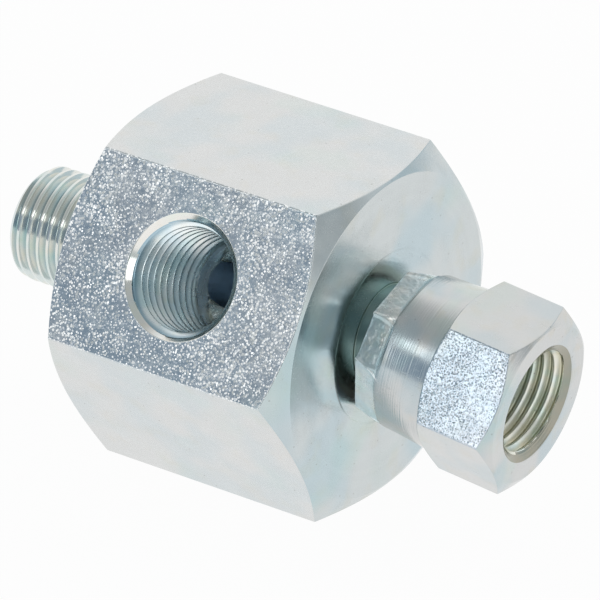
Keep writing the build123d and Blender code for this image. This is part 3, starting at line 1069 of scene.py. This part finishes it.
def add_floor(studio):
    """A wide flat floor that the adapter's lower flat rests on."""
    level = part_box("adapter_body")[0][2]
    reach = studio.floor_reach
    mesh = bpy.data.meshes.new("floor")
    corners = np.array([[-1, -1], [1, -1], [1, 1], [-1, 1]]) * reach
    points = np.column_stack([corners, np.full(4, level)])
    mesh.from_pydata(points.tolist(), [], [(0, 1, 2, 3)])
    mesh.materials.append(floor_finish(studio.floor_white))
    floor = bpy.data.objects.new("floor", mesh)
    bpy.context.scene.collection.objects.link(floor)


def add_softbox(name, azimuth, elevation, width, height, glow):
    """A soft lamp one metre away in a compass direction. Its power gives its face the wanted glow,
    where 1 is as bright as the white room: glow x pi x area."""
    lamp = bpy.data.lights.new(name, "AREA")
    lamp.shape = "RECTANGLE"
    lamp.size, lamp.size_y = width, height
    lamp.energy = glow * math.pi * width * height
    holder = bpy.data.objects.new(name, lamp)
    away = towards(azimuth, elevation)
    holder.location = Vector((PORT_X / TO_MM, 0, 0)) + away
    holder.rotation_euler = (-away).to_track_quat("-Z", "Y").to_euler()
    bpy.context.scene.collection.objects.link(holder)


def add_camera(studio):
    """The photograph's view: a long lens above the port's side, rolled by a third of a degree."""
    az, el, roll = studio.azimuth, studio.elevation, studio.roll
    level = Vector((-math.sin(az), math.cos(az), 0))
    right = Vector((math.cos(az), math.sin(az), 0))
    ahead = level * math.cos(el) - Vector((0, 0, math.sin(el)))
    up = level * math.sin(el) + Vector((0, 0, math.cos(el)))
    c, s = math.cos(roll), math.sin(roll)
    right, up = right * c + up * s, up * c - right * s
    pivot = Vector((PORT_X / TO_MM, 0, 0))
    place = pivot - ahead * studio.distance + right * CAMERA_RIGHT - up * CAMERA_DOWN
    data = bpy.data.cameras.new("camera")
    data.lens, data.sensor_width = studio.lens, 36.0
    data.clip_start, data.clip_end = 0.01, 100.0
    camera = bpy.data.objects.new("camera", data)
    camera.matrix_world = Matrix((
        (right.x, up.x, -ahead.x, place.x),
        (right.y, up.y, -ahead.y, place.y),
        (right.z, up.z, -ahead.z, place.z),
        (0, 0, 0, 1)))
    bpy.context.scene.collection.objects.link(camera)
    bpy.context.scene.camera = camera


# Settings

def length(name, description, millimetres):
    """A size in metres with its default given in millimetres."""
    return FloatProperty(name=name, description=description, default=millimetres / TO_MM,
                         min=0.0, unit="LENGTH", precision=5)


def view_angle(name, description, degrees):
    """An angle in radians with its default given in degrees."""
    return FloatProperty(name=name, description=description, default=math.radians(degrees),
                         subtype="ANGLE")


def face_glow(side, default):
    """Brightness of one softbox, where 1 is as bright as the white room."""
    return FloatProperty(name=f"{side} softbox", default=default, min=0,
                         description=f"Brightness of the {side.lower()} softbox's face")


class AdapterSizes(bpy.types.PropertyGroup):
    """Sizes of the body and the nut"""
    hex_flats: length("Hexagon across flats", "Spanner size of the body", 38.0)
    hex_length: length("Hexagon length", "Length of the body's hexagon", 31.8)
    hex_face: length("Face diameter", "Round face left by the body's chamfers", 37.2)
    hex_rounding: length("Hexagon edge rounding", "Radius along the body's six corners", 0.3)
    stud_length: length("Stud length", "Reach of the male stud from the hexagon", 15.2)
    bore: length("Flow bore", "Diameter of the passage from end to end", 6.5)
    dish: length("Dish diameter", "Rim of the shallow dish in the nut-side face", 20.2)
    thread: length("Thread diameter", "Diameter over the thread's crests", 13.157)
    pitch: length("Thread pitch", "Distance between two crests", 1.337)
    tap: length("Tapping diameter", "Diameter of the tapped holes before threading", 11.8)
    port_mouth: length("Mouth diameter", "Bevelled mouth of the port and of the nut", 14.1)
    nut_flats: length("Nut across flats", "Spanner size of the swivel nut", 19.0)
    nut_length: length("Nut length", "Length of the swivel nut", 18.65)
    nut_rounding: length("Nut edge rounding", "Radius along the nut's six corners", 0.22)


class AdapterFinish(bpy.types.PropertyGroup):
    """Colours and finish"""
    plating: FloatVectorProperty(name="Plating", description="Colour of the bright zinc plating",
                                 default=(0.69, 0.7, 0.695), min=0, max=1, size=3, subtype="COLOR")
    glitter: FloatProperty(name="Glitter", description="How steeply the zinc crystals are tilted",
                           default=0.6, min=0, max=2, subtype="FACTOR")


class AdapterStudio(bpy.types.PropertyGroup):
    """Camera, floor and lamps"""
    azimuth: view_angle("Azimuth", "Camera's turn about the vertical", 34.577)
    elevation: view_angle("Elevation", "Camera's height angle", 28.288)
    roll: view_angle("Roll", "Camera's roll", 0.334)
    distance: length("Distance", "From the camera to the middle of the body", 983.3)
    lens: FloatProperty(name="Lens", description="Focal length", default=535.2, min=10,
                        unit="CAMERA")
    floor_reach: length("Floor reach", "From the middle of the floor to its edge", 20000.0)
    floor_white: FloatProperty(name="Floor white", description="Share of the floor seen as plain white",
                               default=0.96, min=0, max=1, subtype="FACTOR")
    left_glow: face_glow("Left", 1.0)
    small_glow: face_glow("Small", 1.5)
    right_glow: face_glow("Right", 1.5)


def in_millimetres(sizes):
    """The sizes as plain numbers in millimetres."""
    names = sizes.__annotations__.keys()
    return SimpleNamespace(**{name: getattr(sizes, name) * TO_MM for name in names})


class ADAPTER_OT_body(bpy.types.Operator):
    """Builds the plated adapter body with its stud, port, flow bore and spigot"""
    bl_idname = "adapter.body"
    bl_label = "Adapter body"

    def execute(self, context):
        shell = body_shell(in_millimetres(context.scene.adapter_sizes))
        make_piece("plated_adapter_body", shell, "body", "adapter_body",
                   body_finishes(context.scene.adapter_finish))
        return {"FINISHED"}


class ADAPTER_OT_nut(bpy.types.Operator):
    """Builds the swivel nut with its crimped skirt and thread"""
    bl_idname = "adapter.swivel_nut"
    bl_label = "Swivel nut"

    def execute(self, context):
        shell = nut_shell(in_millimetres(context.scene.adapter_sizes))
        make_piece("plated_swivel_nut", shell, "nut", "swivel_nut",
                   nut_finishes(context.scene.adapter_finish), nut_place()[0])
        return {"FINISHED"}


class ADAPTER_OT_stage(bpy.types.Operator):
    """Sets up the floor, the studio light and the camera"""
    bl_idname = "adapter.stage"
    bl_label = "Stage"

    def execute(self, context):
        scene = context.scene
        studio = scene.adapter_studio
        scene.world = studio_world()
        add_floor(studio)
        for name, place in SOFTBOXES.items():
            add_softbox(f"softbox_{name}", *place, getattr(studio, f"{name}_glow"))
        add_camera(studio)
        scene.view_settings.view_transform = "Standard"
        return {"FINISHED"}


class ADAPTER_PT_panel(bpy.types.Panel):
    """Sizes, finish and studio, with a button for each piece"""
    bl_idname = "ADAPTER_PT_panel"
    bl_label = "Test point adapter"
    bl_space_type = "VIEW_3D"
    bl_region_type = "UI"
    bl_category = "Adapter"

    def draw(self, context):
        for operator in (ADAPTER_OT_body, ADAPTER_OT_nut, ADAPTER_OT_stage):
            self.layout.operator(operator.bl_idname)
        for settings in ("adapter_sizes", "adapter_finish", "adapter_studio"):
            group = getattr(context.scene, settings)
            box = self.layout.box()
            for name in group.__annotations__:
                box.prop(group, name)


CLASSES = (AdapterSizes, AdapterFinish, AdapterStudio, ADAPTER_OT_body, ADAPTER_OT_nut,
           ADAPTER_OT_stage, ADAPTER_PT_panel)


def register():
    for cls in CLASSES:
        bpy.utils.register_class(cls)
    bpy.types.Scene.adapter_sizes = PointerProperty(type=AdapterSizes)
    bpy.types.Scene.adapter_finish = PointerProperty(type=AdapterFinish)
    bpy.types.Scene.adapter_studio = PointerProperty(type=AdapterStudio)


def unregister():
    del bpy.types.Scene.adapter_studio
    del bpy.types.Scene.adapter_finish
    del bpy.types.Scene.adapter_sizes
    for cls in reversed(CLASSES):
        bpy.utils.unregister_class(cls)


def main():
    register()
    bpy.ops.adapter.body()
    bpy.ops.adapter.swivel_nut()
    bpy.ops.adapter.stage()


if __name__ == "__main__":
    main()
